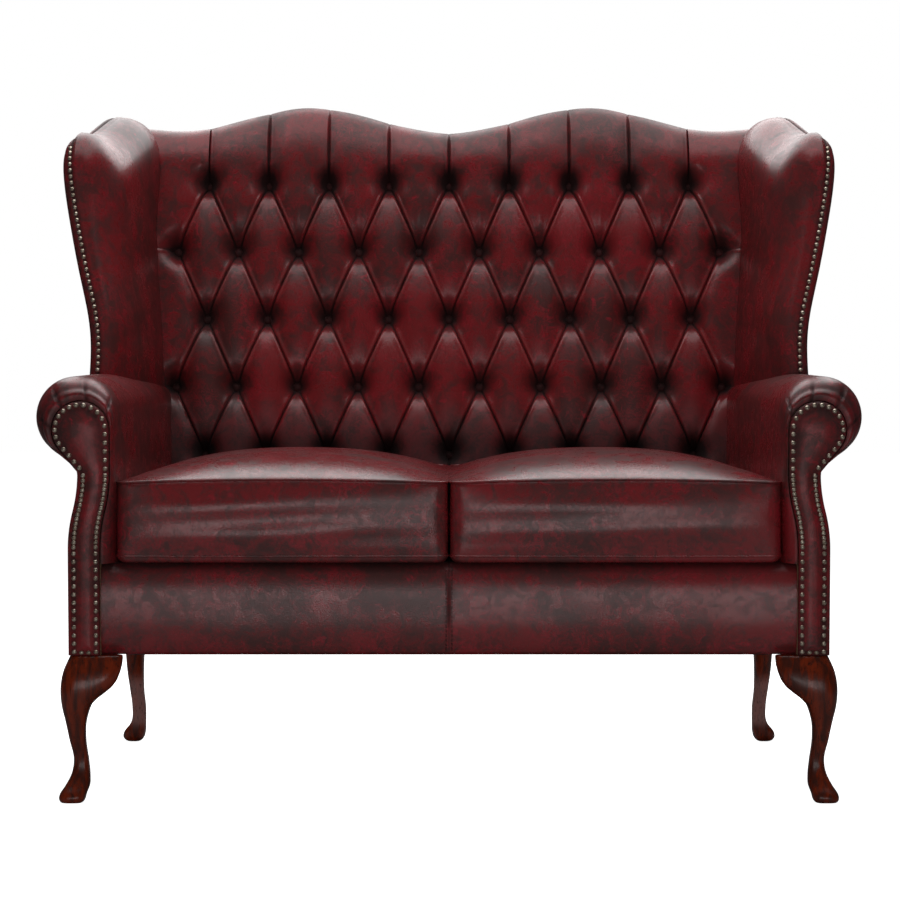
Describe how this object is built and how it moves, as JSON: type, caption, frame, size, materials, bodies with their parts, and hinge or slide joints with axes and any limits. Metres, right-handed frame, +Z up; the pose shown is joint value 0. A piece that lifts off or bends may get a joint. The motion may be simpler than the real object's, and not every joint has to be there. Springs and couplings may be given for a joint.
{
  "type": "two-seat wing sofa",
  "caption": "Leather chesterfield sofa with a high deep-buttoned wing back, serpentine crest, nailed scroll arms, loose box seat cushions and cabriole legs.",
  "frame": {"origin": "on the floor, under the middle of the sofa's bounding box", "axes": "+X to the right seen from the front, +Y to the back, +Z up; the seat faces -Y"},
  "size_m": [1.274, 0.8299, 1.1287],
  "materials": {
    "oxblood_leather": "semi-gloss antique, rubbed dark in the folds",
    "mahogany": "polished",
    "frame_timber": "planed, bare",
    "antique_brass": "antique, darkened round the rim",
    "bolt_steel": "zinc",
    "webbing": "woven",
    "lining": "matt cloth",
    "foam": "open-cell foam"
  },
  "bodies": {
    "frame": {"arm_facing_left": "oxblood_leather", "arm_facing_right": "oxblood_leather", "arm_nails_left": "antique_brass", "arm_nails_right": "antique_brass", "arm_pad_left": "oxblood_leather", "arm_pad_right": "oxblood_leather", "arm_post_left": "frame_timber", "arm_post_right": "frame_timber", "arm_top_rail_left": "frame_timber", "arm_top_rail_right": "frame_timber", "back_buttons": "oxblood_leather", "back_centre_upright": "frame_timber", "back_pad": "oxblood_leather", "back_seat_rail": "frame_timber", "back_tacking_rail": "frame_timber", "back_upright_left": "frame_timber", "back_upright_right": "frame_timber", "back_webbing": "webbing", "centre_seat_rail": "frame_timber", "corner_blocks": "frame_timber", "crest_rail": "frame_timber", "dust_cover": "lining", "front_border": "oxblood_leather", "front_seat_rail": "frame_timber", "leg_back_left": "mahogany", "leg_back_right": "mahogany", "leg_bolts": "bolt_steel", "leg_front_left": "mahogany", "leg_front_right": "mahogany", "outside_arm_left": "oxblood_leather", "outside_arm_right": "oxblood_leather", "outside_back": "oxblood_leather", "outside_wing_left": "oxblood_leather", "outside_wing_right": "oxblood_leather", "seat_deck": "lining", "seat_webbing": "webbing", "side_seat_rail_left": "frame_timber", "side_seat_rail_right": "frame_timber", "wing_board_left": "frame_timber", "wing_board_right": "frame_timber", "wing_nails_left": "antique_brass", "wing_nails_right": "antique_brass", "wing_pad_left": "oxblood_leather", "wing_pad_right": "oxblood_leather"},
    "cushion_left": {"cushion_core_left": "foam", "cushion_cover_left": "oxblood_leather"},
    "cushion_right": {"cushion_core_right": "foam", "cushion_cover_right": "oxblood_leather"}
  },
  "joints": [
    {"name": "cushion_left_lift", "type": "slide", "parent": "frame", "child": "cushion_left", "axis": [0, 0, 1], "range_m": [0, 0.3]},
    {"name": "cushion_right_lift", "type": "slide", "parent": "frame", "child": "cushion_right", "axis": [0, 0, 1], "range_m": [0, 0.3]}
  ]
}
